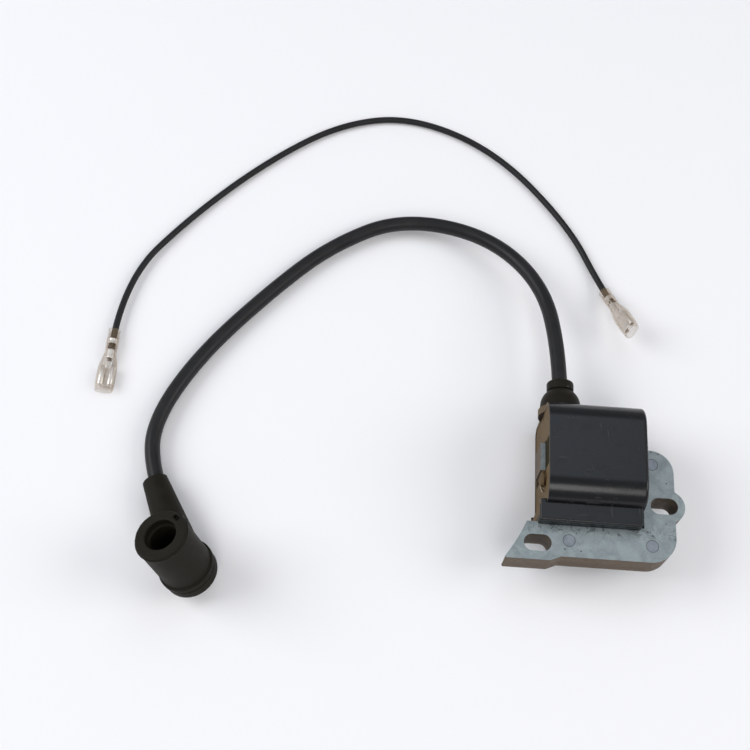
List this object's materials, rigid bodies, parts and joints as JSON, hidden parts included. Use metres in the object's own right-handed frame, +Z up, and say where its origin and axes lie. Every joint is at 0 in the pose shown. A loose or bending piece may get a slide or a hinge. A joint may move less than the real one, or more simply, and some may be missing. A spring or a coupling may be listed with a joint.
{
  "type": "ignition coil",
  "caption": "Small-engine ignition module on a laminated C-core with slotted feet, a long high-tension lead ending in an elbow spark-plug boot, and a loose kill wire with sleeved terminals.",
  "frame": {"origin": "centre of the module's footprint on the table, the high-tension lead, plug boot and kill wire left out", "axes": "+Z up from the table through the core stack; +X along the core's leg, away from the flywheel; +Y along the high-tension tower, the way the lead leaves"},
  "size_m": [0.1907, 0.1888, 0.03],
  "materials": {
    "core_bottom_sheet": "zinc grey, stamped",
    "core_stack": "stacked sheet edges, brown",
    "core_top_sheet": "zinc grey, stamped",
    "core_rivets": "flush zinc rivets",
    "coil_case": "glossy black",
    "potting_resin": "tan epoxy",
    "primary_bobbin": "olive brown",
    "primary_winding": "enamelled copper",
    "insulation_tape": "yellow film",
    "secondary_bobbin": "natural nylon",
    "secondary_winding": "fine enamelled copper",
    "tower_spike": "brass",
    "circuit_board": "phenolic board",
    "power_transistor": "black epoxy",
    "trigger_thyristor": "black epoxy",
    "charge_capacitor": "red-brown dipped",
    "resistors": "beige lacquer",
    "diode": "black with pale band",
    "kill_tab": "tinned",
    "ground_wire": "tinned copper",
    "strain_relief_boot": "matte black rubber",
    "ht_lead": "satin black",
    "plug_boot": "matte brown-black rubber",
    "plug_spring": "spring steel",
    "plug_pin": "spring steel",
    "kill_wire": "satin black",
    "terminal_a": "tinned brass",
    "strands_a": "tarnished copper strands",
    "sleeve_a": "clear, slightly tan",
    "terminal_b": "tinned brass",
    "strands_b": "tarnished copper strands",
    "sleeve_b": "clear, slightly tan"
  },
  "bodies": {
    "module": {"core_bottom_sheet": "core_bottom_sheet", "core_stack": "core_stack", "core_top_sheet": "core_top_sheet", "core_rivets": "core_rivets", "coil_case": "coil_case", "potting_resin": "potting_resin", "primary_bobbin": "primary_bobbin", "primary_winding": "primary_winding", "insulation_tape": "insulation_tape", "secondary_bobbin": "secondary_bobbin", "secondary_winding": "secondary_winding", "tower_spike": "tower_spike", "circuit_board": "circuit_board", "power_transistor": "power_transistor", "trigger_thyristor": "trigger_thyristor", "charge_capacitor": "charge_capacitor", "resistors": "resistors", "diode": "diode", "kill_tab": "kill_tab", "ground_wire": "ground_wire", "strain_relief_boot": "strain_relief_boot", "ht_lead": "ht_lead", "plug_boot": "plug_boot", "plug_spring": "plug_spring", "plug_pin": "plug_pin"},
    "kill_wire_loose": {"kill_wire": "kill_wire", "terminal_a": "terminal_a", "strands_a": "strands_a", "terminal_b": "terminal_b", "strands_b": "strands_b"},
    "sleeve_a_body": {"sleeve_a": "sleeve_a"},
    "sleeve_b_body": {"sleeve_b": "sleeve_b"}
  },
  "joints": [
    {"name": "kill_wire_lift", "type": "slide", "parent": "module", "child": "kill_wire_loose", "axis": [0, 0, 1], "range_m": [0, 0.06]},
    {"name": "sleeve_a_slide", "type": "slide", "parent": "kill_wire_loose", "child": "sleeve_a_body", "axis": [0.012, 0.9999, 0], "range_m": [0, 0.008]},
    {"name": "sleeve_b_slide", "type": "slide", "parent": "kill_wire_loose", "child": "sleeve_b_body", "axis": [-0.3162, 0.8606, -0.3993], "range_m": [0, 0.004]}
  ]
}
